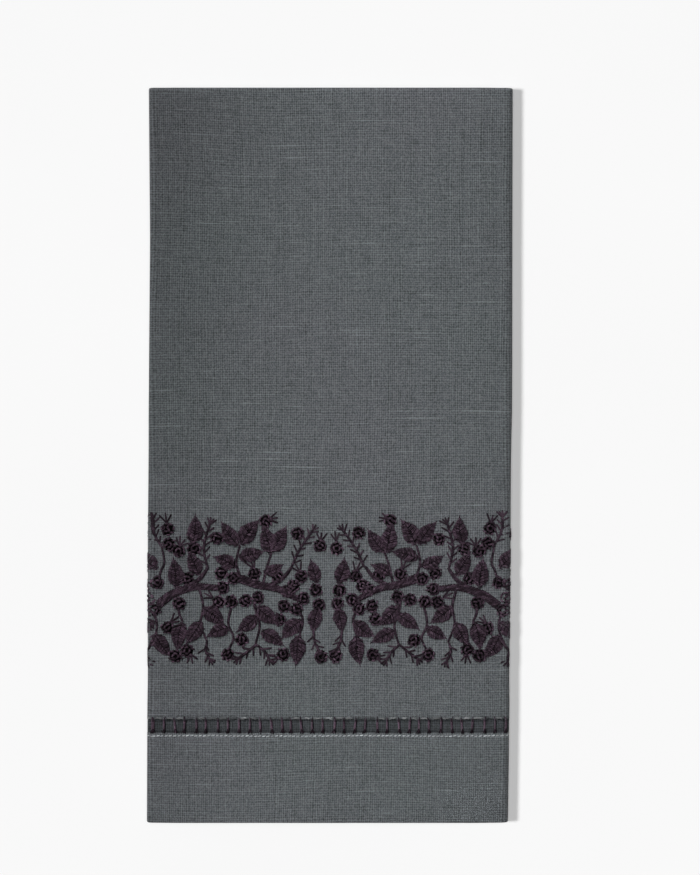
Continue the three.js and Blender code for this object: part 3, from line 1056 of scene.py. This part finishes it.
def stem_stitch(threads, points, start_width, end_width, thread=STEM_THREAD):
    """Rows of overlapping slanted stitches along a route, like a rope, as many as its width takes."""
    places, ways, distance = route(points)
    asides = np.stack([-ways[:, 1], ways[:, 0]], axis=1)
    widths = np.linspace(start_width, end_width, len(distance))
    rows = max(1, round((start_width + end_width) / 2 / (thread * 1.75)))
    slant = np.array([-1, -0.4, 0.4, 1]) * thread * (0.45 if rows < 4 else 0.9)
    heights = np.array([-0.08, 0.24, 0.3, 0.0])
    paths = []
    for row in range(rows):
        off = 0 if rows == 1 else row / (rows - 1) - 0.5
        crown = 0.18 * (1 - (2 * off) ** 2)
        for begin in np.arange(-0.4 + (row % 2) * 0.5, distance[-1] - 0.3, STEM_STEP):
            at = np.clip(begin + STEM_LENGTH * np.array([0, 0.3, 0.7, 1]), 0, distance[-1])
            spread = np.interp(at, distance, widths) - 2.6 * thread
            shift = off * np.maximum(spread, 0) + slant
            spot = [
                np.interp(at, distance, places[:, i]) + shift * np.interp(at, distance, asides[:, i])
                for i in (0, 1)
            ]
            if at[-1] - at[0] > 0.5:
                paths.append(np.column_stack([*spot, heights + crown]))
    threads.lay(paths, thread, flat=0.9, tone=rng.uniform(0.58, 0.74), ends=0.1, vary=0.8)
    # Painted shade: a near-black core under wide branches shows between the rows of stitches.
    if rows > 2:
        along = np.linspace(0, len(places) - 1, 9).astype(int)
        shade_core = np.column_stack([places[along], np.full(9, 0.06)])
        half = np.linspace(start_width, end_width, 9) / 2 - 0.15
        threads.lay(shade_core[None], half[None], sides=6, flat=0.22, tone=BRANCH_CORE_SHADE_TONE, vary=PAD_VARY)


def straight_stitch(foot, direction, length):
    """The path of one long stitch from a foot."""
    ahead = np.array([math.cos(direction), math.sin(direction)])
    share = np.array([0, 0.2, 0.75, 1.0])
    return np.column_stack([foot + share[:, None] * length * ahead, [0.0, 0.26, 0.22, -0.12]])


# Widths of stems and twigs, from foot to tip
STEM_WIDTHS = (1.15, 0.9)
TWIG_WIDTHS = (1.05, 0.85)
SPRAY_SPREAD = math.radians(31)


def twig(threads, points):
    """A thin stem with short stitches to either side, and a forked tip."""
    stem_stitch(threads, points, *TWIG_WIDTHS, thread=TWIG_THREAD)
    places, ways, distance = route(points)
    paths = []
    side = rng.choice((-1, 1))
    for at in np.arange(1.6, distance[-1] + 0.2, 1.25):
        k = min(int(at / ROUTE_STEP), len(places) - 1)
        angle = math.atan2(ways[k, 1], ways[k, 0]) + side * math.radians(rng.uniform(38, 56))
        paths.append(straight_stitch(places[k], angle, rng.uniform(2.2, 3.2)))
        side = -side
    tip = math.atan2(ways[-1, 1], ways[-1, 0])
    paths += [straight_stitch(places[-1], tip + spread, 2.2) for spread in (-0.5, 0.1, 0.6)]
    threads.lay(paths, SIDE_THREAD, tone=SIDE_TONE)


def spray(threads, foot, direction, count):
    """Straight stitches fanned out like sepals."""
    paths = []
    for k in range(count):
        way = direction + (k - (count - 1) / 2) * SPRAY_SPREAD + rng.normal(0, 0.06)
        paths.append(straight_stitch(foot, way, rng.uniform(3.0, 3.8)))
    threads.lay(paths, SIDE_THREAD, tone=SIDE_TONE)


def border():
    """The charted border as four meshes: leaves, berries, branches and twigs."""
    leaves, berries, branches, twigs = Stitches(), Stitches(), Stitches(), Stitches()
    for points, start_width, end_width in WOODY_BRANCHES:
        for spot, _ in repeats(points):
            stem_stitch(branches, spot, start_width, end_width)
    for points in STEMS:
        for spot, _ in repeats(points):
            stem_stitch(branches, spot, *STEM_WIDTHS)
    for points in TWIGS:
        for spot, _ in repeats(points):
            twig(twigs, spot)
    for x, y, direction, count in SPRAYS:
        for spot, flip in repeats([(x, y)]):
            spray(twigs, spot[0], turned(direction, flip), count)
    for x, y, direction, length in LEAVES:
        for spot, flip in repeats([(x, y)]):
            leaf(leaves, spot[0], turned(direction, flip), length * rng.uniform(0.95, 1.04))
    for spot in BERRIES:
        for middle, _ in repeats([spot]):
            berry(berries, middle[0])
    return {"leaf": leaves, "berry": berries, "branch": branches, "twig": twigs}


# Making the pieces

linen = slate_linen(plain_weave())
twist = spun_thread()
plum = embroidery_thread("plum thread", twist, DARK_PLUM, LIGHT_PLUM, shine=0.68)
pale = embroidery_thread("pale thread", twist, DARK_PALE, LIGHT_PALE, shine=0.8)

bars, leans = ladder_bars()
cloth = cloth_sheet(linen, bars, leans)
sewn = [wrapped_bars(bars, leans).piece("ladder_bindings", plum)]
sewn += [made.piece(f"{name}_stitches", plum) for name, made in border().items()]
hem_line = pale_stitches(bars).piece("hem_stitches", pale)

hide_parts("towel_cloth")
for piece in [cloth, hem_line, *sewn]:
    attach(piece, "root")

# Floor, light and camera

FLOOR_SIZE = 40.0
CAMERA_HEIGHT = 1.5
VIEW_HEIGHT = 303.5
VIEW_MIDDLE = (6.94, 6.14)
SENSOR = 36.0
WORLD_STRENGTH = 0.06


def pale_floor():
    """A plain matt floor, off-white with the faintest cloudiness."""
    made, tree, shader = new_material("pale floor", Roughness=0.9, Specular_IOR_Level=0.0)
    where = tree.nodes.new("ShaderNodeTexCoord")
    cloud = noise(where.outputs["Object"], scale=9.0, detail=2.0)
    wire(ramp(cloud, (0.3, FLOOR_DARK), (0.7, FLOOR_LIGHT)), shader.inputs["Base Color"])
    return made


def lit(name, pieces):
    """The pieces that a lamp shines on, as a collection."""
    made = bpy.data.collections.new(name)
    for piece in pieces:
        made.objects.link(piece)
    return made


def lamp(name, kind, receivers, energy, elevation, azimuth=0.0, distance=1.0, aim=(0.0, 0.0), **settings):
    """A lamp on some pieces from a direction, azimuth 0 from the right and 90 from the top edge."""
    data = bpy.data.lights.new(name, kind)
    data.energy = energy
    for key, value in settings.items():
        setattr(data, key, value)
    made = bpy.data.objects.new(name, data)
    up, around = math.radians(elevation), math.radians(azimuth)
    made.location = (
        aim[0] + distance * math.cos(up) * math.cos(around),
        aim[1] + distance * math.cos(up) * math.sin(around),
        distance * math.sin(up),
    )
    made.rotation_euler = (math.pi / 2 - up, 0, around + math.pi / 2)
    made.light_linking.receiver_collection = receivers
    bpy.context.scene.collection.objects.link(made)


bpy.ops.object.select_all(action="DESELECT")
bpy.ops.mesh.primitive_plane_add(size=FLOOR_SIZE)
floor = bpy.context.object
floor.name = "floor"
floor.data.materials.append(pale_floor())

world = bpy.data.worlds.new("studio")
world.use_nodes = True
world.node_tree.nodes["Background"].inputs["Color"].default_value = (1.0, 1.0, 1.0, 1)
world.node_tree.nodes["Background"].inputs["Strength"].default_value = WORLD_STRENGTH
bpy.context.scene.world = world
on_floor = lit("floor_lit", [floor])
on_towel = lit("towel_lit", [cloth, hem_line, *sewn])
lamp("floor_overhead", "SUN", on_floor, energy=1.63, elevation=89.9, angle=math.radians(22))
lamp("floor_key", "SUN", on_floor, energy=2.19, elevation=50, azimuth=180, angle=math.radians(11))
lamp("towel_slant", "SUN", on_towel, energy=2.2, elevation=42, azimuth=112, angle=math.radians(8))
lamp(
    "towel_key", "AREA", on_towel, energy=0.46, elevation=74, azimuth=174, aim=(0.071, -0.03),
    shape="RECTANGLE", size=1.0, size_y=0.25, spread=math.radians(7),
)

camera_data = bpy.data.cameras.new("camera")
camera_data.sensor_width = SENSOR
camera_data.lens = SENSOR * (CAMERA_HEIGHT - FRONT_HEIGHT * MM) / (VIEW_HEIGHT * MM)
camera_data.dof.use_dof = False
camera = bpy.data.objects.new("camera", camera_data)
camera.location = (VIEW_MIDDLE[0] * MM, VIEW_MIDDLE[1] * MM, CAMERA_HEIGHT)
bpy.context.scene.collection.objects.link(camera)
bpy.context.scene.camera = camera
bpy.context.scene.view_settings.view_transform = "Standard"
